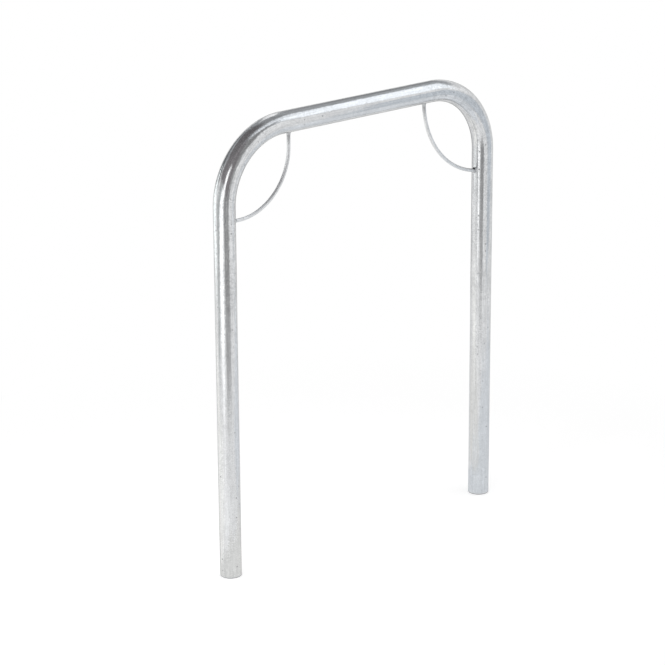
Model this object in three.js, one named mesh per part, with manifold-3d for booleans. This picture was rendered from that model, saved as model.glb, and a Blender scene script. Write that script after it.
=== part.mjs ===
// Hoop bike rack: one steel tube bent into a hoop, whose two legs are set in concrete, with a thin
// round bar welded across each top corner as a closed eye for a lock.
// Millimetres, +Z up. The hoop stands in the XZ plane. The origin is midway between the two feet, at
// the level of their cut ends.

import * as THREE from "three";
import { mergeVertices } from "three/addons/utils/BufferGeometryUtils.js";
import Module from "manifold-3d";

const wasm = await Module();
wasm.setup();

// Hoop tube
const TUBE_DIAMETER = 48.3;
const TUBE_WALL = 3.2;
const TUBE_BEND_RADIUS = 160; // to the tube's centre line
const WIDTH_OVER_LEGS = 800;
const HEIGHT_ABOVE_GROUND = 775;
const DEPTH_IN_CONCRETE = 250;

// Locking bars. Reach is measured along the top run from the leg's inner side, and drop down the leg
// from the top run's underside, both to the bar's centre line. The two were bent and fitted by hand.
const BAR_DIAMETER = 8;
const LEFT_BAR_REACH = 154;
const LEFT_BAR_DROP = 169;
const LEFT_BAR_BEND_RADIUS = 138;
const RIGHT_BAR_REACH = 158;
const RIGHT_BAR_DROP = 185;
const RIGHT_BAR_BEND_RADIUS = 190;

// Fillet welds round the bars' ends
const WELD_LEG = 4;
const WELD_TOP_LAND = 0.8; // flat width that the bead keeps where it dies out along the bar
const WELD_SPREAD_SHARE = 0.5; // how much a bead widens as it follows the tube's curve down
const WELD_CROWN_SHARE = 0.35; // how far a bead's face swells out of a straight slope

// Room between pieces that touch
const SEAT_GAP = 0.3;

// Facet counts
const TUBE_SIDES = 48;
const TUBE_BEND_STEPS = 16;
const BAR_SIDES = 16;
const BAR_BEND_STEPS = 18;
const WELD_SIDES = 24;
const WELD_FACE_STEPS = 4;

// Worked out from the sizes above
const tubeRadius = TUBE_DIAMETER / 2;
const barRadius = BAR_DIAMETER / 2;
const legOffset = WIDTH_OVER_LEGS / 2 - tubeRadius;
const topHeight = HEIGHT_ABOVE_GROUND + DEPTH_IN_CONCRETE - tubeRadius;
const bendCentreOffset = legOffset - TUBE_BEND_RADIUS;
const bendCentreHeight = topHeight - TUBE_BEND_RADIUS;
const innerBendRadius = TUBE_BEND_RADIUS - tubeRadius;
const barEndInset = tubeRadius / 2;

// A path in the XZ plane, held as the stations at which a section is placed.
class StationPath extends THREE.Curve {
  constructor(stations) {
    super();
    this.stations = stations;
  }

  stationAt(share) {
    return this.stations[Math.round(share * (this.stations.length - 1))];
  }

  getPointAt(share) {
    return this.stationAt(share).point.clone();
  }

  getTangentAt(share) {
    return this.stationAt(share).tangent.clone();
  }
}

function station(x, z, tangentX, tangentZ) {
  return {
    point: new THREE.Vector3(x, 0, z),
    tangent: new THREE.Vector3(tangentX, 0, tangentZ),
  };
}

// Evenly spaced stations on a clockwise arc. Angles are from +X towards +Z.
function arcStations(centreX, centreZ, radius, startAngle, endAngle, steps) {
  return Array.from({ length: steps + 1 }, (_, i) => {
    const angle = startAngle + ((endAngle - startAngle) * i) / steps;
    const x = centreX + radius * Math.cos(angle);
    const z = centreZ + radius * Math.sin(angle);
    return station(x, z, Math.sin(angle), -Math.cos(angle));
  });
}

// A round section swept along a path, hollow if a bore radius is given.
function sweptRound(path, radius, sides, boreRadius = 0) {
  const section = new THREE.Shape().absarc(0, 0, radius, 0, 2 * Math.PI);
  if (boreRadius > 0) {
    section.holes.push(new THREE.Path().absarc(0, 0, boreRadius, 0, 2 * Math.PI));
  }
  return new THREE.ExtrudeGeometry(section, {
    extrudePath: path,
    steps: path.stations.length - 1,
    curveSegments: sides / 2,
  });
}

// A closed geometry as a solid that can be joined and cut.
function toSolid(geometry) {
  const bare = geometry.clone();
  bare.deleteAttribute("normal");
  bare.deleteAttribute("uv");
  const merged = mergeVertices(bare);
  return new wasm.Manifold(
    new wasm.Mesh({
      numProp: 3,
      vertProperties: merged.attributes.position.array,
      triVerts: new Uint32Array(merged.index.array),
    }),
  );
}

function toGeometry(solid) {
  const mesh = solid.getMesh();
  const geometry = new THREE.BufferGeometry();
  geometry.setAttribute("position", new THREE.BufferAttribute(mesh.vertProperties, 3));
  geometry.setIndex(new THREE.BufferAttribute(mesh.triVerts, 1));
  geometry.computeVertexNormals();
  return geometry;
}

function namedMesh(name, geometry, material) {
  const mesh = new THREE.Mesh(geometry, material);
  mesh.name = name;
  return mesh;
}

// Hoop: up the left leg, round the left bend, along the top, round the right bend, down the right leg.
function hoopPath() {
  return new StationPath([
    station(-legOffset, 0, 0, 1),
    ...arcStations(
      -bendCentreOffset,
      bendCentreHeight,
      TUBE_BEND_RADIUS,
      Math.PI,
      Math.PI / 2,
      TUBE_BEND_STEPS,
    ),
    ...arcStations(
      bendCentreOffset,
      bendCentreHeight,
      TUBE_BEND_RADIUS,
      Math.PI / 2,
      0,
      TUBE_BEND_STEPS,
    ),
    station(legOffset, 0, 0, -1),
  ]);
}

function hoopTube() {
  const geometry = sweptRound(hoopPath(), tubeRadius, TUBE_SIDES, tubeRadius - TUBE_WALL);
  const galvanised = new THREE.MeshStandardMaterial({
    color: 0xb9bcc0,
    metalness: 0.85,
    roughness: 0.38,
  });
  return namedMesh("hoop_tube", geometry, galvanised);
}

// Corner frame: its origin is where the leg's inner side and the top run's underside would meet, +X
// runs towards the middle of the hoop and +Z up. A bar's centre line starts and ends inside the tube,
// and is cut there: a straight tail where the bar leaves the bend before it lands, and otherwise the
// bend itself, run on into the tube.
function barPath(reach, drop, bendRadius) {
  const centreX = reach - bendRadius;
  const centreZ = bendRadius - drop;
  const startAngle = -Math.asin(Math.max(0, centreZ - barEndInset) / bendRadius);
  const endAngle = Math.asin(Math.max(0, -barEndInset - centreX) / bendRadius) - Math.PI / 2;
  const stations = arcStations(
    centreX,
    centreZ,
    bendRadius,
    startAngle,
    endAngle,
    BAR_BEND_STEPS,
  );
  if (centreZ < barEndInset) stations.unshift(station(reach, barEndInset, 0, -1));
  if (centreX > -barEndInset) stations.push(station(-barEndInset, -drop, -1, 0));
  return new StationPath(stations);
}

// How far a point of the corner frame's XZ plane lies from the tube's centre line.
function distanceToTube(point) {
  const fromBendX = point.x - innerBendRadius;
  const fromBendZ = point.z + innerBendRadius;
  if (fromBendX < 0 && fromBendZ > 0) {
    return Math.abs(Math.hypot(fromBendX, fromBendZ) - TUBE_BEND_RADIUS);
  }
  return fromBendZ > 0 ? Math.abs(point.z - tubeRadius) : Math.abs(point.x + tubeRadius);
}

// Where a bar's centre line comes out of the tube, and its direction there, away from the tube.
function landing(stations) {
  const outside = stations.findIndex((s) => distanceToTube(s.point) > tubeRadius);
  const inner = stations[outside - 1];
  const outer = stations[outside];
  const depthInside = tubeRadius - distanceToTube(inner.point);
  const heightOutside = distanceToTube(outer.point) - tubeRadius;
  const share = depthInside / (depthInside + heightOutside);
  return {
    point: inner.point.clone().lerp(outer.point, share),
    away: outer.point.clone().sub(inner.point).normalize(),
  };
}

// A fillet's outline about the bar's axis, from below the tube's face up to where it dies out.
function weldOutline() {
  const toeRadius = barRadius + WELD_LEG;
  const skirt = WELD_LEG;
  const topRadius = barRadius + SEAT_GAP + WELD_TOP_LAND;
  const crown = WELD_LEG * WELD_CROWN_SHARE;
  const face = new THREE.QuadraticBezierCurve(
    new THREE.Vector2(toeRadius, 0),
    new THREE.Vector2((toeRadius + topRadius) / 2 + crown, WELD_LEG / 2 + crown),
    new THREE.Vector2(topRadius, WELD_LEG),
  );
  return [
    new THREE.Vector2(0, -skirt),
    new THREE.Vector2(toeRadius + skirt * WELD_SPREAD_SHARE, -skirt),
    ...face.getPoints(WELD_FACE_STEPS),
    new THREE.Vector2(0, WELD_LEG),
  ];
}

// One bead round a bar's end, cut to the tube's face and to the bar.
function weldBead(name, end, tubeRoom, barRoom) {
  const turned = new THREE.Quaternion().setFromUnitVectors(new THREE.Vector3(0, 1, 0), end.away);
  const lump = new THREE.LatheGeometry(weldOutline(), WELD_SIDES)
    .applyQuaternion(turned)
    .translate(end.point.x, end.point.y, end.point.z);
  const bead = toSolid(lump).subtract(tubeRoom).subtract(barRoom);
  const zincOverWeld = new THREE.MeshStandardMaterial({
    color: 0x8f9296,
    metalness: 0.75,
    roughness: 0.55,
  });
  return namedMesh(name, toGeometry(bead), zincOverWeld);
}

// A locking bar and its two welds, in a group that stands at its corner.
function cornerEye(side, reach, drop, bendRadius) {
  const corner = new THREE.Group();
  const path = barPath(reach, drop, bendRadius);
  const tubeRoom = toSolid(
    sweptRound(hoopPath(), tubeRadius + SEAT_GAP, TUBE_SIDES).translate(
      legOffset - tubeRadius,
      0,
      tubeRadius - topHeight,
    ),
  );
  const barRoom = toSolid(sweptRound(path, barRadius + SEAT_GAP, BAR_SIDES));
  const bar = toSolid(sweptRound(path, barRadius, BAR_SIDES)).subtract(tubeRoom);
  const galvanised = new THREE.MeshStandardMaterial({
    color: 0xaeb1b4,
    metalness: 0.85,
    roughness: 0.42,
  });
  const topEnd = landing(path.stations);
  const legEnd = landing([...path.stations].reverse());
  corner.add(
    namedMesh(`${side}_locking_bar`, toGeometry(bar), galvanised),
    weldBead(`${side}_top_weld`, topEnd, tubeRoom, barRoom),
    weldBead(`${side}_leg_weld`, legEnd, tubeRoom, barRoom),
  );
  return corner;
}

const leftEye = cornerEye("left", LEFT_BAR_REACH, LEFT_BAR_DROP, LEFT_BAR_BEND_RADIUS);
leftEye.position.set(tubeRadius - legOffset, 0, topHeight - tubeRadius);

// The right corner is the left one turned half round about the vertical.
const rightEye = cornerEye("right", RIGHT_BAR_REACH, RIGHT_BAR_DROP, RIGHT_BAR_BEND_RADIUS);
rightEye.position.set(legOffset - tubeRadius, 0, topHeight - tubeRadius);
rightEye.rotation.z = Math.PI;

const rack = new THREE.Group();
rack.add(hoopTube(), leftEye, rightEye);

export default rack;
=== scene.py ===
# Hoop bike rack: a bent steel tube whose legs are set in concrete, and a thin round bar welded across
# each top corner. All of it was dipped in zinc. Metres, +Z up, the photographed side faces -Y.

import math

import bpy
from mathutils import Matrix, Vector


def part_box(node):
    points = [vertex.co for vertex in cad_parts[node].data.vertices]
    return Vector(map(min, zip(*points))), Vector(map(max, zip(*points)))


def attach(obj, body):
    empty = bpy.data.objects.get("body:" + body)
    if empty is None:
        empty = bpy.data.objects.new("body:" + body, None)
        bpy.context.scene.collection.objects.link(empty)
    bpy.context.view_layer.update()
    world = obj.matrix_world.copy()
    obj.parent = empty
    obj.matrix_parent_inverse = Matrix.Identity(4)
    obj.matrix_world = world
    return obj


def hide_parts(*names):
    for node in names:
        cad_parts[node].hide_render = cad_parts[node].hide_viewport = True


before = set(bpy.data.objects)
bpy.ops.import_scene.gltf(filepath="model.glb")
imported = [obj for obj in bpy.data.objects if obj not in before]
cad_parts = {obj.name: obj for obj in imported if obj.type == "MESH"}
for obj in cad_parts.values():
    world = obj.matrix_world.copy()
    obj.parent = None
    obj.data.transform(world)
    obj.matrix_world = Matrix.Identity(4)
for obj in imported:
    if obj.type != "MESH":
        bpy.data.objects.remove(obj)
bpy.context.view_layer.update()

# Camera, front left of the rack and a little above it, with a long lens. The photograph was squared
# up after it was taken, so its legs are parallel, where here each leans in by about one degree.
CAMERA_PLACE = (-3.7534, -4.3256, 2.3922)
CAMERA_TURN = math.radians(40.36)
CAMERA_DIP = math.radians(18.45)
CAMERA_ROLL = math.radians(-0.33)
CAMERA_LENS_MM = 145.77
SENSOR_MM = 36
QUARTER_TURN = math.radians(90)


def rotation(axis, angle):
    return Matrix.Rotation(angle, 4, axis)


bpy.ops.object.camera_add()
camera = bpy.context.object
camera.matrix_world = (
    Matrix.Translation(CAMERA_PLACE)
    @ rotation("Z", -CAMERA_TURN)
    @ rotation("X", QUARTER_TURN - CAMERA_DIP)
    @ rotation("Z", CAMERA_ROLL)
)
camera.data.sensor_width = SENSOR_MM
camera.data.lens = CAMERA_LENS_MM
bpy.context.scene.camera = camera
bpy.context.scene.view_settings.view_transform = "Standard"

# Floor, a round of white paper. It shows as white, darkened only by the rack's own soft shadow, and
# towards its rim it turns into the plain white of the room.
FLOOR_RADIUS = 1.3
FLOOR_SHADE_RADIUS = 0.75
FLOOR_SIDES = 96
FLOOR_WHITE = (0.9, 0.9, 0.9, 1)
FLOOR_SHADED_SHARE = 0.8
FLOOR_LIT_LEVEL = 0.58


def add_node(tree, kind, **settings):
    node = tree.nodes.new(kind)
    for name, value in settings.items():
        setattr(node, name, value)
    return node


def set_inputs(node, **values):
    for name, value in values.items():
        node.inputs[name.replace("_", " ")].default_value = value
    return node


def feed(tree, value, entry):
    """Gives a node's input a number, a colour or another node's output."""
    if isinstance(value, (int, float, tuple)):
        entry.default_value = value
    else:
        tree.links.new(value, entry)


def math_node(tree, operation, *values):
    node = add_node(tree, "ShaderNodeMath", operation=operation)
    for value, entry in zip(values, node.inputs):
        feed(tree, value, entry)
    return node.outputs["Value"]


def ramp(tree, value, low, high, bottom=0.0, top=1.0, shape="LINEAR"):
    """Runs from bottom to top as value goes from low to high, and is held beyond them."""
    spread = add_node(tree, "ShaderNodeMapRange", interpolation_type=shape, clamp=True)
    named = {"Value": value, "From Min": low, "From Max": high, "To Min": bottom, "To Max": top}
    for entry, setting in named.items():
        feed(tree, setting, spread.inputs[entry])
    return spread.outputs["Result"]


def mix_shaders(tree, share, first, second):
    """Turns the first shader into the second as share rises from 0 to 1."""
    mixed = add_node(tree, "ShaderNodeMixShader")
    for value, entry in zip((share, first.outputs[0], second.outputs[0]), mixed.inputs):
        feed(tree, value, entry)
    return mixed


def show(tree, shader, output="ShaderNodeOutputMaterial"):
    feed(tree, shader.outputs[0], add_node(tree, output).inputs["Surface"])


def background_rays(tree):
    """1 for the rays that see the studio's white: from the camera, off metal and through glass."""
    path = add_node(tree, "ShaderNodeLightPath")
    seen = math_node(tree, "MAXIMUM", path.outputs["Is Camera Ray"], path.outputs["Is Glossy Ray"])
    return math_node(tree, "MAXIMUM", seen, path.outputs["Is Transmission Ray"])


def new_material(name):
    material = bpy.data.materials.new(name)
    material.use_nodes = True
    material.node_tree.nodes.clear()
    return material, material.node_tree


bpy.ops.object.select_all(action="DESELECT")
bpy.ops.mesh.primitive_circle_add(vertices=FLOOR_SIDES, radius=FLOOR_RADIUS, fill_type="NGON")
floor = bpy.context.object
floor.name = "paper_floor"
floor_paper, tree = new_material("white_paper")
place = add_node(tree, "ShaderNodeTexCoord")
from_middle = add_node(tree, "ShaderNodeVectorMath", operation="LENGTH")
feed(tree, place.outputs["Object"], from_middle.inputs[0])
shaded_share = ramp(
    tree,
    from_middle.outputs["Value"],
    FLOOR_SHADE_RADIUS,
    FLOOR_RADIUS,
    FLOOR_SHADED_SHARE,
    0.0,
    shape="SMOOTHSTEP",
)
matt = set_inputs(add_node(tree, "ShaderNodeBsdfDiffuse"), Color=FLOOR_WHITE)
plain_white = set_inputs(add_node(tree, "ShaderNodeEmission"), Strength=1)
# The lamps leave the paper a little grey, so a faint glow lifts it to white.
lift = add_node(tree, "ShaderNodeEmission")
feed(tree, math_node(tree, "MULTIPLY", shaded_share, 1 - FLOOR_LIT_LEVEL), lift.inputs["Strength"])
lifted = add_node(tree, "ShaderNodeAddShader")
feed(tree, mix_shaders(tree, shaded_share, plain_white, matt).outputs[0], lifted.inputs[0])
feed(tree, lift.outputs[0], lifted.inputs[1])
show(tree, mix_shaders(tree, background_rays(tree), matt, lifted))
floor.data.materials.append(floor_paper)

# Room, plain white all round, which lights the rack softly and evenly. Its light is fainter than the
# white that the camera and the metal see.
ROOM_LIGHT = 0.55

room = bpy.data.worlds.new("white_room")
room.use_nodes = True
tree = room.node_tree
tree.nodes.clear()
even_light = set_inputs(add_node(tree, "ShaderNodeBackground"), Color=(1, 1, 1, 1), Strength=ROOM_LIGHT)
plain_white = set_inputs(add_node(tree, "ShaderNodeBackground"), Color=(1, 1, 1, 1), Strength=1)
room_light = mix_shaders(tree, background_rays(tree), even_light, plain_white)
show(tree, room_light, "ShaderNodeOutputWorld")
bpy.context.scene.world = room

# Studio, as the metal shows it: softboxes, darker cloths, papers on the floor and an unlit ceiling. Each is
# a flat sheet, which stands upright and looks along +Y until it is turned about +Z, tilted upwards or
# sloped in its own plane, by so many degrees. Its brightness is against the room's white.
PLAIN = (1, 1, 1)
CREAM = (1.005, 1, 0.975)
WARM = (1.12, 1, 1.06)
GREENISH = (0.96, 1, 0.995)
COOL = (0.965, 1, 1.04)
BLUISH = (0.935, 1, 1.07)
LEVEL = 90
PAPER_LIFT = 0.003
UPPER_PAPER_LIFT = 0.006
CEILING_HEIGHT = 2.7
UNDER_CEILING = 2.69
# Three sheets fade into the room's white towards their foot: its height, the fade's reach and power.
FADING_FEET = {
    "left_softbox": (-0.03, 0.4, 0.7),
    "camera_side_cloth": (-0.03, 0.4, 0.4),
    "left_gap_cloth": (0.27, 0.15, 0.7),
}


def sheet_placement(centre, turn, tilt, slope):
    return (
        Matrix.Translation(centre)
        @ rotation("Z", math.radians(turn))
        @ rotation("X", QUARTER_TURN - math.radians(tilt))
        @ rotation("Z", math.radians(slope))
    )


def fade_by_height(tree, foot, reach, power):
    """0 at a sheet's foot, rising ever more slowly to 1 where the fade ends, reach above it."""
    world_place = add_node(tree, "ShaderNodeNewGeometry")
    parts = add_node(tree, "ShaderNodeSeparateXYZ")
    feed(tree, world_place.outputs["Position"], parts.inputs[0])
    return math_node(tree, "POWER", ramp(tree, parts.outputs["Z"], foot, foot + reach), power)


def add_sheet(name, tint, brightness, centre, size, turn=0, tilt=0, slope=0):
    """What the metal sees of a softbox or a cloth. It lights nothing and shows nowhere else."""
    bpy.ops.object.select_all(action="DESELECT")
    bpy.ops.mesh.primitive_plane_add(size=1)
    sheet = bpy.context.object
    sheet.name = name
    sheet.matrix_world = sheet_placement(centre, turn, tilt, slope) @ Matrix.Diagonal((*size, 1, 1))
    face, tree = new_material(name)
    surface = set_inputs(add_node(tree, "ShaderNodeEmission"), Color=(*tint, 1), Strength=brightness)
    if name in FADING_FEET:
        share = fade_by_height(tree, *FADING_FEET[name])
        surface = mix_shaders(tree, share, add_node(tree, "ShaderNodeBsdfTransparent"), surface)
    show(tree, surface)
    sheet.data.materials.append(face)
    sheet.visible_camera = False
    sheet.visible_diffuse = False
    sheet.visible_transmission = False
    sheet.visible_shadow = False


def add_softbox(name, tint, brightness, centre, size, turn, tilt=0, slope=0):
    """A sheet with a soft, wide lamp in its place, which lights the rack and casts its shadow."""
    add_sheet(name, tint, brightness, centre, size, turn, tilt, slope)
    bpy.ops.object.light_add(type="AREA")
    lamp = bpy.context.object
    lamp.name = f"{name}_lamp"
    lamp.matrix_world = sheet_placement(centre, turn, tilt, slope)
    lamp.data.shape = "RECTANGLE"
    lamp.data.size, lamp.data.size_y = size
    lamp.data.energy = brightness * math.pi * size[0] * size[1]
    lamp.visible_camera = False
    lamp.visible_glossy = False


add_softbox("left_softbox", PLAIN, 1.81, (-1.13, -0.22, 0.62), (0.53, 1.44), turn=-34, slope=-15)
add_softbox("far_left_softbox", PLAIN, 1.5, (-2.15, 0.02, 0.37), (1.15, 0.57), turn=-15, tilt=-3, slope=15)
add_softbox("rear_softbox", GREENISH, 1.66, (-1.6, 1.51, 0.55), (2.19, 0.93), turn=156, slope=-18)
add_softbox("right_softbox", COOL, 1.49, (0.98, -0.41, 2.2), (0.94, 1.75), turn=45, tilt=8, slope=-29)
add_softbox("bend_softbox", COOL, 1.1, (0.04, -0.61, 1.7), (0.46, 1.39), turn=9, tilt=130, slope=12)
add_sheet("camera_side_cloth", PLAIN, 0.35, (-0.63, -0.99, 1.25), (0.96, 2.45), turn=-34, slope=-3)
add_sheet("front_high_cloth", PLAIN, 0.25, (-0.22, -0.88, 1.91), (0.6, 1.25), turn=13, slope=-16)
add_sheet("left_gap_cloth", GREENISH, 0.55, (-0.7, 0.1, 0.65), (0.17, 0.69), turn=-61, slope=-22)
add_sheet("left_high_cloth", WARM, 0.15, (-1.0, -0.31, 1.77), (3.4, 1.5), turn=-62, tilt=-2, slope=-17)
add_sheet("rear_high_cloth", BLUISH, 0.11, (-1.06, 3.34, 2.45), (4.44, 2.82), turn=-168, slope=-49)
add_sheet("right_grey_cloth", BLUISH, 0.73, (1.66, -0.74, 0.73), (2.28, 0.76), turn=-4, slope=1)
add_sheet("left_ceiling", WARM, 0.09, (-0.64, 0.26, 1.76), (0.84, 1.07), tilt=LEVEL, slope=7)
add_sheet("ceiling", COOL, 0.39, (0.13, 0.02, CEILING_HEIGHT), (5.98, 6.49), tilt=LEVEL)
add_sheet("ceiling_middle", COOL, 0.26, (0.35, -0.02, UNDER_CEILING), (1.3, 0.8), tilt=LEVEL)
add_sheet("ceiling_rear", COOL, 0.26, (3.16, 3.3, UNDER_CEILING), (0.75, 4.7), turn=-31, tilt=LEVEL)
add_sheet("ceiling_strip", PLAIN, 1.3, (1.16, 2.02, UNDER_CEILING), (0.65, 2.6), turn=-31, tilt=LEVEL)
add_sheet("ceiling_panel", COOL, 0.48, (1.98, 0.7, UNDER_CEILING), (1.1, 0.5), tilt=LEVEL)
add_sheet("left_floor_paper", CREAM, 1.22, (-0.87, 0.81, UPPER_PAPER_LIFT), (0.89, 1.52), tilt=LEVEL)
add_sheet("middle_floor_paper", CREAM, 0.98, (-0.17, 0.28, PAPER_LIFT), (0.76, 1.06), tilt=LEVEL)
add_sheet("far_left_floor_paper", PLAIN, 0.88, (-1.95, 1.15, PAPER_LIFT), (1.3, 0.95), tilt=LEVEL)
add_sheet("right_floor_paper", COOL, 0.95, (0.75, -0.4, PAPER_LIFT), (1.5, 1.1), tilt=LEVEL)
add_sheet("behind_cloth", PLAIN, 0.25, (1.15, 1.3, 0.5), (1.1, 1.0), turn=-40)

# Hoop tube: one length of round structural steel tube, drawn round a former into two right-angle
# bends, sawn square at both feet and then dipped in zinc. Its legs stand in the concrete.
tube_low, tube_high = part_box("hoop_tube")
TUBE_RADIUS = (tube_high.y - tube_low.y) / 2
TUBE_WALL = 0.0032
TUBE_BEND_RADIUS = 0.16
TUBE_SIDES = 96
TUBE_BEND_STEPS = 32
FOOT_EDGE_ROUND = 0.0008
FOOT_EDGE_STEPS = 3
STRAIGHT_END_BAND = 0.003
LEG_OFFSET = tube_high.x - TUBE_RADIUS
TOP_HEIGHT = tube_high.z - TUBE_RADIUS
BEND_OFFSET = LEG_OFFSET - TUBE_BEND_RADIUS
BEND_HEIGHT = TOP_HEIGHT - TUBE_BEND_RADIUS
BEND_LENGTH = TUBE_BEND_RADIUS * QUARTER_TURN
HALF_LENGTH = BEND_HEIGHT + BEND_LENGTH + BEND_OFFSET
SMOOTH_ANGLE = math.radians(40)
MERGE_DISTANCE = 0.000001
LEAST_LENGTH = 0.0001
UP = Vector((0, 0, 1))


def turn_from_up(way):
    """The turn that takes straight up into a direction."""
    return UP.rotation_difference(Vector(way)).to_matrix().to_4x4()


def put_in_place(piece, centre, turn):
    """Turns and moves a piece's mesh, and leaves its object at the origin."""
    piece.matrix_world = Matrix.Translation(centre) @ turn
    bpy.ops.object.transform_apply(location=True, rotation=True, scale=True)


def start_ring(name, sides, radius, centre, axis):
    """A ring at its place, square to axis, left selected in edit mode."""
    bpy.ops.object.select_all(action="DESELECT")
    bpy.ops.mesh.primitive_circle_add(vertices=sides, radius=radius)
    piece = bpy.context.object
    piece.name = name
    put_in_place(piece, centre, turn_from_up(axis))
    bpy.ops.object.mode_set(mode="EDIT")
    bpy.ops.mesh.select_all(action="SELECT")
    return piece


def run_straight(x, z):
    """Carries the selected ring straight on. A narrow band at each end, no more than a third of the
    run, keeps the shine between them true."""
    length = math.hypot(x, z)
    band = min(STRAIGHT_END_BAND, length / 3)
    for part in (band, length - 2 * band, band):
        step = (x * part / length, 0, z * part / length)
        bpy.ops.mesh.extrude_region_move(TRANSFORM_OT_translate={"value": step})


def run_round(centre_x, centre_z, angle, steps):
    """Carries the selected ring clockwise, as seen from -Y, round a centre in the hoop's plane."""
    centre = (centre_x, 0, centre_z)
    bpy.ops.mesh.spin(steps=steps, angle=angle, center=centre, axis=(0, -1, 0), dupli=False)


def finish_mesh(fill_ends):
    bpy.ops.mesh.select_all(action="SELECT")
    if fill_ends:
        bpy.ops.mesh.fill_holes(sides=0)
        bpy.ops.mesh.select_all(action="SELECT")
    bpy.ops.mesh.remove_doubles(threshold=MERGE_DISTANCE)
    bpy.ops.mesh.normals_make_consistent(inside=False)
    bpy.ops.object.mode_set(mode="OBJECT")


def select_edges(piece, chosen):
    """Selects, in edit mode, the edges whose two ends both answer chosen."""
    bpy.ops.object.mode_set(mode="EDIT")
    bpy.ops.mesh.select_mode(type="EDGE")
    bpy.ops.mesh.select_all(action="DESELECT")
    bpy.ops.object.mode_set(mode="OBJECT")
    points = piece.data.vertices
    for edge in piece.data.edges:
        edge.select = all(chosen(points[i].co) for i in edge.vertices)
    bpy.ops.object.mode_set(mode="EDIT")


tube = start_ring("galvanised_hoop", TUBE_SIDES, TUBE_RADIUS, (-LEG_OFFSET, 0, 0), UP)
run_straight(0, BEND_HEIGHT)
run_round(-BEND_OFFSET, BEND_HEIGHT, QUARTER_TURN, TUBE_BEND_STEPS)
run_straight(2 * BEND_OFFSET, 0)
run_round(BEND_OFFSET, BEND_HEIGHT, QUARTER_TURN, TUBE_BEND_STEPS)
run_straight(0, -BEND_HEIGHT)
finish_mesh(fill_ends=False)
wall = tube.modifiers.new("wall", "SOLIDIFY")
wall.thickness = TUBE_WALL
wall.offset = -1
bpy.ops.object.modifier_apply(modifier=wall.name)
select_edges(tube, lambda point: abs(point.z) < LEAST_LENGTH)
bpy.ops.mesh.bevel(offset=FOOT_EDGE_ROUND, segments=FOOT_EDGE_STEPS, affect="EDGES")
bpy.ops.object.mode_set(mode="OBJECT")
bpy.ops.object.shade_smooth_by_angle(angle=SMOOTH_ANGLE)


def place_along_hoop(point):
    """A point of the tube as if the hoop were pulled straight: outwards, sideways and along it."""
    past_bend = abs(point.x) - BEND_OFFSET
    above_bend = point.z - BEND_HEIGHT
    if above_bend <= 0:
        outwards = past_bend - TUBE_BEND_RADIUS
        from_foot = point.z
    elif past_bend <= 0:
        outwards = above_bend - TUBE_BEND_RADIUS
        from_foot = BEND_HEIGHT + BEND_LENGTH - past_bend
    else:
        outwards = math.hypot(past_bend, above_bend) - TUBE_BEND_RADIUS
        from_foot = BEND_HEIGHT + TUBE_BEND_RADIUS * math.atan2(above_bend, past_bend)
    along = from_foot if point.x < 0 else 2 * HALF_LENGTH - from_foot
    return outwards, point.y, along


# Each point keeps its place on the straight tube, which the zinc's pattern follows.
straight_places = tube.data.attributes.new("straight_place", "FLOAT_VECTOR", "POINT")
for point, place in zip(tube.data.vertices, straight_places.data):
    place.vector = place_along_hoop(point.co)


def add_group(name, inputs, outputs):
    """An empty node group with named inputs, (name, socket type, value), and outputs."""
    group = bpy.data.node_groups.new(name, "ShaderNodeTree")
    for label, kind, value in inputs:
        socket = group.interface.new_socket(label, in_out="INPUT", socket_type=kind)
        if value is not None:
            socket.default_value = value
    for label, kind in outputs:
        group.interface.new_socket(label, in_out="OUTPUT", socket_type=kind)
    return group, add_node(group, "NodeGroupInput"), add_node(group, "NodeGroupOutput")


def noise(tree, vector, scale, detail, roughness):
    texture = set_inputs(add_node(tree, "ShaderNodeTexNoise"), Detail=detail, Roughness=roughness)
    feed(tree, vector, texture.inputs["Vector"])
    feed(tree, scale, texture.inputs["Scale"])
    return texture.outputs["Fac"]


def cells(tree, vector, scale):
    """A pattern of cells: how far each spot is from its cell's middle, and three random numbers."""
    texture = add_node(tree, "ShaderNodeTexVoronoi")
    feed(tree, vector, texture.inputs["Vector"])
    feed(tree, scale, texture.inputs["Scale"])
    parts = add_node(tree, "ShaderNodeSeparateColor")
    feed(tree, texture.outputs["Color"], parts.inputs[0])
    return texture.outputs["Distance"], parts.outputs


# Where a Mix node has its sockets for colours, past those for its other kinds of data.
MIX_SHARE = 0
MIX_FIRST_COLOUR = 6
MIX_SECOND_COLOUR = 7
MIX_RESULT = 2


def mix_colour(tree, share, first, second):
    mixed = add_node(tree, "ShaderNodeMix", data_type="RGBA")
    feed(tree, share, mixed.inputs[MIX_SHARE])
    feed(tree, first, mixed.inputs[MIX_FIRST_COLOUR])
    feed(tree, second, mixed.inputs[MIX_SECOND_COLOUR])
    return mixed.outputs[MIX_RESULT]


def stretch(tree, vector, factors):
    stretched = add_node(tree, "ShaderNodeVectorMath", operation="MULTIPLY")
    feed(tree, vector, stretched.inputs[0])
    feed(tree, factors, stretched.inputs[1])
    return stretched.outputs["Vector"]


def weighted_sum(tree, outputs, weights):
    """Adds up named outputs, each times the weight of that name."""
    total = 0.0
    for name, output in outputs.items():
        total = math_node(tree, "ADD", math_node(tree, "MULTIPLY", output, weights[name]), total)
    return total


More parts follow.
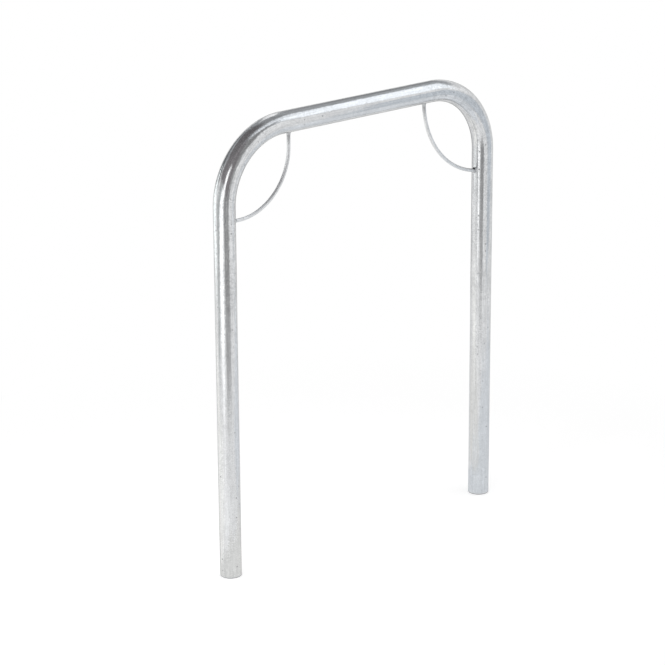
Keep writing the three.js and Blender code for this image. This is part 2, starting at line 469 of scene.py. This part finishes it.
# Zinc as it leaves the bath: a fine mottle, faint crystals, cloudy patches, streaks where it drained
# off along the steel, and a scatter of dark specks where ash or flux was caught.
CRYSTALS_PER_METRE = 130.0
CLOUDS_PER_METRE = 24.0
STREAKS_PER_METRE = 330.0
STREAK_STRETCH = (1, 1, 0.05)
DENTS_PER_METRE = 150.0
DENT_STRETCH = (1, 1, 0.4)
MOTTLE_LOW = 0.33
MOTTLE_HIGH = 0.67
CLOUD_LOW = 0.3
CLOUD_HIGH = 0.7
TONE_WEIGHTS = {"mottle": 0.4, "clouds": 0.16, "streaks": 0.28, "crystals": 0.16}
HEIGHT_WEIGHTS = {"mottle": 1.0, "dents": 0.35, "clouds": 3.0, "specks": 2.0}
MIDDLE_TONE = 0.5
SMOOTHEST_TONE = 0.2
ROUGHEST_TONE = 0.8
SPECK_CELLS_PER_METRE = 90.0
SPECK_WIDTH_SHARE = 0.2
SPECK_RAGGEDNESS = 0.2
zinc_coat, given, made = add_group(
    "zinc_coat",
    [
        ("Place", "NodeSocketVector", None),
        ("Pale Zinc", "NodeSocketColor", (0.7, 0.7, 0.7, 1)),
        ("Dull Zinc", "NodeSocketColor", (0.5, 0.5, 0.5, 1)),
        ("Speck Colour", "NodeSocketColor", (0.1, 0.1, 0.1, 1)),
        ("Grains Per Metre", "NodeSocketFloat", 420),
        ("Unevenness", "NodeSocketFloat", 1),
        ("Speck Share", "NodeSocketFloat", 0.2),
        ("Smoothest", "NodeSocketFloat", 0.2),
        ("Roughest", "NodeSocketFloat", 0.4),
    ],
    [
        ("Colour", "NodeSocketColor"),
        ("Roughness", "NodeSocketFloat"),
        ("Height", "NodeSocketFloat"),
    ],
)
spot = given.outputs["Place"]
streak_spot = stretch(zinc_coat, spot, STREAK_STRETCH)
dent_spot = stretch(zinc_coat, spot, DENT_STRETCH)
mottle = noise(zinc_coat, spot, given.outputs["Grains Per Metre"], detail=3.0, roughness=0.6)
clouds = noise(zinc_coat, spot, CLOUDS_PER_METRE, detail=3.0, roughness=0.6)
streaks = noise(zinc_coat, streak_spot, STREAKS_PER_METRE, detail=2.0, roughness=0.5)
dents = noise(zinc_coat, dent_spot, DENTS_PER_METRE, detail=1.0, roughness=0.5)
_, crystal_dice = cells(zinc_coat, spot, CRYSTALS_PER_METRE)
tones = {
    "mottle": ramp(zinc_coat, mottle, MOTTLE_LOW, MOTTLE_HIGH),
    "clouds": ramp(zinc_coat, clouds, CLOUD_LOW, CLOUD_HIGH),
    "streaks": ramp(zinc_coat, streaks, CLOUD_LOW, CLOUD_HIGH),
    "crystals": crystal_dice[0],
}
even_tone = weighted_sum(zinc_coat, tones, TONE_WEIGHTS)
off_middle = math_node(zinc_coat, "SUBTRACT", even_tone, MIDDLE_TONE)
contrast = math_node(zinc_coat, "MULTIPLY", off_middle, given.outputs["Unevenness"])
tone = math_node(zinc_coat, "ADD", contrast, MIDDLE_TONE)
zinc = mix_colour(zinc_coat, tone, given.outputs["Pale Zinc"], given.outputs["Dull Zinc"])
speck_distance, speck_dice = cells(zinc_coat, spot, SPECK_CELLS_PER_METRE)
mottle_off_middle = math_node(zinc_coat, "SUBTRACT", mottle, MIDDLE_TONE)
ragged = math_node(zinc_coat, "MULTIPLY", mottle_off_middle, SPECK_RAGGEDNESS)
speck_reach = math_node(zinc_coat, "ADD", speck_distance, ragged)
speck_width = math_node(zinc_coat, "MULTIPLY", speck_dice[1], SPECK_WIDTH_SHARE)
speck_body = ramp(zinc_coat, speck_reach, 0.0, speck_width, 1.0, 0.0)
speck_here = math_node(zinc_coat, "LESS_THAN", speck_dice[0], given.outputs["Speck Share"])
specks = math_node(zinc_coat, "MULTIPLY", speck_body, speck_here)
flecked = mix_colour(zinc_coat, specks, zinc, given.outputs["Speck Colour"])
smoothest = given.outputs["Smoothest"]
roughest = given.outputs["Roughest"]
shine = ramp(zinc_coat, tone, SMOOTHEST_TONE, ROUGHEST_TONE, smoothest, roughest)
heights = {"mottle": mottle, "dents": dents, "clouds": clouds, "specks": specks}
feed(zinc_coat, flecked, made.inputs["Colour"])
feed(zinc_coat, shine, made.inputs["Roughness"])
feed(zinc_coat, weighted_sum(zinc_coat, heights, HEIGHT_WEIGHTS), made.inputs["Height"])


# The zinc took least evenly where the steel was worked most, round the bends and just below them.
WORKED_ABOVE_BEND = 0.09
WORKED_FULLY_INTO_BEND = 0.04
WORKED_FULLY_BELOW_BEND = 0.15
WORKED_BELOW_BEND = 0.5
PLAIN_UNEVENNESS = 1.1
WORKED_UNEVENNESS = 2.4


def unevenness_by_bends(tree, place):
    parts = add_node(tree, "ShaderNodeSeparateXYZ")
    feed(tree, place, parts.inputs[0])
    past_middle = math_node(tree, "SUBTRACT", parts.outputs["Z"], HALF_LENGTH)
    from_middle = math_node(tree, "ABSOLUTE", past_middle)
    bend_end = BEND_OFFSET + BEND_LENGTH
    worked_from = BEND_OFFSET - WORKED_ABOVE_BEND
    fully_from = BEND_OFFSET + WORKED_FULLY_INTO_BEND
    fully_to = bend_end + WORKED_FULLY_BELOW_BEND
    worked_to = bend_end + WORKED_BELOW_BEND
    rising = ramp(tree, from_middle, worked_from, fully_from)
    falling = ramp(tree, from_middle, fully_to, worked_to, bottom=1.0, top=0.0)
    worked = math_node(tree, "MULTIPLY", rising, falling)
    return ramp(tree, worked, 0.0, 1.0, PLAIN_UNEVENNESS, WORKED_UNEVENNESS)


def zinc_material(name, metallic, edge, relief, follows_tube=False, **values):
    """A zinc surface from the zinc coat's group, with that group's inputs given by name."""
    material, tree = new_material(name)
    coat = set_inputs(add_node(tree, "ShaderNodeGroup", node_tree=zinc_coat), **values)
    if follows_tube:
        place = add_node(tree, "ShaderNodeAttribute", attribute_name="straight_place").outputs["Vector"]
        feed(tree, unevenness_by_bends(tree, place), coat.inputs["Unevenness"])
    else:
        place = add_node(tree, "ShaderNodeTexCoord").outputs["Object"]
    feed(tree, place, coat.inputs["Place"])
    metal = add_node(tree, "ShaderNodeBsdfPrincipled")
    set_inputs(metal, Metallic=metallic, Specular_Tint=(edge, edge, edge, 1))
    feed(tree, coat.outputs["Colour"], metal.inputs["Base Color"])
    feed(tree, coat.outputs["Roughness"], metal.inputs["Roughness"])
    bump = set_inputs(add_node(tree, "ShaderNodeBump"), Strength=1, Distance=relief)
    feed(tree, coat.outputs["Height"], bump.inputs["Height"])
    feed(tree, bump.outputs["Normal"], metal.inputs["Normal"])
    show(tree, metal)
    return material


def overlay(material, attribute, colour, low=0.0, high=1.0):
    """Lays a colour over a material's own where an attribute of the mesh rises from low to high."""
    tree = material.node_tree
    entry = tree.nodes["Principled BSDF"].inputs["Base Color"]
    own_colour = entry.links[0].from_socket
    level = add_node(tree, "ShaderNodeAttribute", attribute_name=attribute).outputs["Fac"]
    share = ramp(tree, level, low, high)
    feed(tree, mix_colour(tree, share, own_colour, colour), entry)


tube_zinc = zinc_material(
    "galvanised_tube_zinc",
    metallic=0.86,
    edge=0.75,
    relief=0.00016,
    follows_tube=True,
    Pale_Zinc=(0.79, 0.8, 0.81, 1),
    Dull_Zinc=(0.53, 0.537, 0.547, 1),
    Speck_Colour=(0.07, 0.07, 0.075, 1),
    Grains_Per_Metre=420,
    Speck_Share=0.3,
    Smoothest=0.09,
    Roughest=0.18,
)
# A thin darker rim is painted at each sawn end, at the foot of each leg: painted shade where the foot meets
# the floor.
FOOT_RIM_PAINTED_SHADE = (0.27, 0.273, 0.278, 1)
near_cut = tube.data.attributes.new("near_cut", "FLOAT", "POINT")
for point, share in zip(tube.data.vertices, near_cut.data):
    share.value = 1 if point.co.z < STRAIGHT_END_BAND / 2 else 0
# Painted shade along the bottom edge of each foot.
overlay(tube_zinc, "near_cut", FOOT_RIM_PAINTED_SHADE)
tube.data.materials.append(tube_zinc)
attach(tube, "root")
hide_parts("hoop_tube")

# Locking bars: thin round steel bar, bent to an arc by hand and cut to fit across the corner under
# each bend, so that a lock can be passed through. No two corners come out quite alike.
BAR_RADIUS = 0.004
BAR_SIDES = 32
BAR_BEND_STEPS = 40
BAR_SINK = 0.002
CORNER_OFFSET = LEG_OFFSET - TUBE_RADIUS
CORNER_HEIGHT = TOP_HEIGHT - TUBE_RADIUS
# Painted shade: the colour laid over each bar's top end, below the tube.
BAR_END_PAINTED_SHADE = (0.34, 0.344, 0.35, 1)
BAR_END_REACH = 0.03
# Each bar's way from its leg, its reach along the top run, its drop down the leg and its bend radius.
EYES = {
    "left": {"way": 1, "reach": 0.154, "drop": 0.169, "bend_radius": 0.138},
    "right": {"way": -1, "reach": 0.158, "drop": 0.185, "bend_radius": 0.19},
}


def arc_point(eye, angle):
    """Where a bar's arc is, and its direction there, at an angle below its level start."""
    corner_x = -eye["way"] * CORNER_OFFSET
    along = eye["reach"] - eye["bend_radius"] + eye["bend_radius"] * math.cos(angle)
    height = eye["bend_radius"] - eye["drop"] - eye["bend_radius"] * math.sin(angle)
    point = Vector((corner_x + eye["way"] * along, 0, CORNER_HEIGHT + height))
    return point, Vector((-eye["way"] * math.sin(angle), 0, -math.cos(angle)))


def arc_angle_at_top(eye, sink):
    """The angle at which the arc is sink deep in the top run, or 0 where a straight end reaches it."""
    return math.asin(max(0, eye["bend_radius"] - eye["drop"] - sink) / eye["bend_radius"])


def arc_angle_at_leg(eye, sink):
    """The same in the leg, or a quarter turn where a straight end reaches it."""
    past_centre = max(0, eye["bend_radius"] - eye["reach"] - sink)
    return QUARTER_TURN - math.asin(past_centre / eye["bend_radius"])


bar_zinc = zinc_material(
    "galvanised_bar_zinc",
    metallic=0.75,
    edge=0.8,
    relief=0.00006,
    Pale_Zinc=(0.84, 0.85, 0.86, 1),
    Dull_Zinc=(0.58, 0.587, 0.597, 1),
    Speck_Colour=(0.1, 0.1, 0.105, 1),
    Grains_Per_Metre=420,
    Speck_Share=0.2,
    Smoothest=0.27,
    Roughest=0.4,
)
# Just below the top run the bar's colour is darkened: painted shade and painted reflection of the tube's
# dark underside above it.
overlay(bar_zinc, "near_top_run", BAR_END_PAINTED_SHADE)
for side, eye in EYES.items():
    first_angle = arc_angle_at_top(eye, BAR_SINK)
    last_angle = arc_angle_at_leg(eye, BAR_SINK)
    first_point, first_way = arc_point(eye, first_angle)
    last_point, _ = arc_point(eye, last_angle)
    centre = arc_point(eye, QUARTER_TURN)[0] + Vector((0, 0, eye["bend_radius"]))
    top_tail = CORNER_HEIGHT + BAR_SINK - first_point.z
    leg_tail = eye["way"] * last_point.x + CORNER_OFFSET + BAR_SINK
    start = first_point + Vector((0, 0, top_tail))
    bar = start_ring(f"{side}_bar", BAR_SIDES, BAR_RADIUS, start, first_way)
    if top_tail > LEAST_LENGTH:
        run_straight(0, -top_tail)
    run_round(centre.x, centre.z, eye["way"] * (last_angle - first_angle), BAR_BEND_STEPS)
    if leg_tail > LEAST_LENGTH:
        run_straight(-eye["way"] * leg_tail, 0)
    finish_mesh(fill_ends=True)
    bpy.ops.object.shade_smooth_by_angle(angle=SMOOTH_ANGLE)
    near_top_run = bar.data.attributes.new("near_top_run", "FLOAT", "POINT")
    for point, share in zip(bar.data.vertices, near_top_run.data):
        share.value = max(0, 1 - (CORNER_HEIGHT - point.co.z) / BAR_END_REACH)
    bar.data.materials.append(bar_zinc)
    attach(bar, "root")
    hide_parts(f"{side}_locking_bar")

# Welds: a slim fillet laid by hand right round each end of each bar, in one run of small ripples, and
# under the zinc like the tube. Those at the legs are fuller on top. Their upper side is darkened where
# they meet the bar: partly dark slag, partly painted shade in the crevice between bead and bar.
WELD_LENGTH = 0.006
WELD_SPREAD = 0.0025
WELD_SIDES = 96
WELD_RIPPLES = 13
WELD_RIPPLE_SHARE = 0.1
WELD_SWAYS = 2
WELD_SWAY_SHARE = 0.15
WELD_SWAY_SHIFT = 3
WELD_FIRST_PHASE = 3
WELD_THICKNESS_SHARES = {"top": 0.28, "leg": 0.5}
WELD_BUILD_UP_SHARES = {"top": 0, "leg": 1.1}
# The bead's outline, from inside the tube's wall up the bar: shares of its spread and of its length.
WELD_OUTLINE = (
    (1.5, -0.4),
    (1.0, 0.0),
    (0.86, 0.15),
    (0.7, 0.33),
    (0.52, 0.55),
    (0.34, 0.76),
    (0.16, 0.93),
    (-0.05, 1.0),
)
WELD_PALE_ZINC = {"top": (0.74, 0.75, 0.76, 1), "leg": (0.7, 0.71, 0.72, 1)}
WELD_DULL_ZINC = {"top": (0.42, 0.425, 0.433, 1), "leg": (0.34, 0.345, 0.352, 1)}
# Near-black on the upper side of the leg beads, by the bar: partly slag, partly painted shade in the
# crevice.
SLAG_AND_PAINTED_SHADE = (0.05, 0.05, 0.052, 1)
SLAG_AND_SHADE_START_SHARE = 0.55
SLAG_AND_SHADE_END_SHARE = 0.7


def build_bead(name):
    """A plain bead round an upright bar at the origin, carried up from the ring at its foot."""
    spread, rise = WELD_OUTLINE[0]
    radius = BAR_RADIUS + spread * WELD_SPREAD
    bead = start_ring(name, WELD_SIDES, radius, (0, 0, rise * WELD_LENGTH), UP)
    for next_spread, next_rise in WELD_OUTLINE[1:]:
        step = (next_rise - rise) * WELD_LENGTH
        bpy.ops.mesh.extrude_region_move(TRANSFORM_OT_translate={"value": (0, 0, step)})
        next_radius = BAR_RADIUS + next_spread * WELD_SPREAD
        grow = next_radius / radius
        ring_centre = (0, 0, next_rise * WELD_LENGTH)
        bpy.ops.transform.resize(value=(grow, grow, 1), center_override=ring_centre)
        radius, rise = next_radius, next_rise
    finish_mesh(fill_ends=True)
    return bead


def work_bead(bead, end, up, phase):
    """Gives a plain bead its ripples, sway and build-up, and marks its upper side near the bar, which is
    darkened: partly slag, partly painted shade.
    """
    slag_and_shade = bead.data.attributes.new("slag_and_shade", "FLOAT", "POINT")
    for point, share in zip(bead.data.vertices, slag_and_shade.data):
        outwards = Vector((point.co.x, point.co.y, 0))
        upper_side = max(0, outwards.normalized().dot(up))
        share.value = (point.co.z / WELD_LENGTH + upper_side) / 2
        thickness = outwards.length - BAR_RADIUS
        if thickness > 0:
            angle = math.atan2(point.co.y, point.co.x)
            ripple = WELD_RIPPLE_SHARE * math.sin(WELD_RIPPLES * angle + phase)
            sway = WELD_SWAY_SHARE * math.sin(WELD_SWAYS * angle + WELD_SWAY_SHIFT * phase)
            built_up = WELD_BUILD_UP_SHARES[end] * upper_side
            fullness = WELD_THICKNESS_SHARES[end] + ripple + sway + built_up
            point.co += outwards.normalized() * thickness * (fullness - 1)


def weld_zinc(end):
    material = zinc_material(
        f"{end}_weld_zinc",
        metallic=0.7,
        edge=0.75,
        relief=0.00015,
        Pale_Zinc=WELD_PALE_ZINC[end],
        Dull_Zinc=WELD_DULL_ZINC[end],
        Speck_Colour=(0.05, 0.05, 0.052, 1),
        Grains_Per_Metre=700,
        Speck_Share=0.5,
        Smoothest=0.3,
        Roughest=0.5,
    )
    if end == "leg":
        # Partly slag, partly painted shade, where the leg bead meets the bar on its upper side.
        overlay(material, "slag_and_shade", SLAG_AND_PAINTED_SHADE, SLAG_AND_SHADE_START_SHARE, SLAG_AND_SHADE_END_SHARE)
    return material


weld_finishes = {end: weld_zinc(end) for end in WELD_THICKNESS_SHARES}
for phase, (side, eye) in enumerate(EYES.items(), start=WELD_FIRST_PHASE):
    top_point, top_way = arc_point(eye, arc_angle_at_top(eye, 0))
    top_point.z = CORNER_HEIGHT
    leg_point, leg_way = arc_point(eye, arc_angle_at_leg(eye, 0))
    leg_point.x = -eye["way"] * CORNER_OFFSET
    for end, point, away in (("top", top_point, top_way), ("leg", leg_point, -leg_way)):
        turn = turn_from_up(away)
        bead = build_bead(f"{side}_{end}_bead")
        work_bead(bead, end, turn.inverted() @ UP, phase)
        put_in_place(bead, point, turn)
        bpy.ops.object.shade_smooth_by_angle(angle=SMOOTH_ANGLE)
        bead.data.materials.append(weld_finishes[end])
        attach(bead, "root")
        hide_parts(f"{side}_{end}_weld")
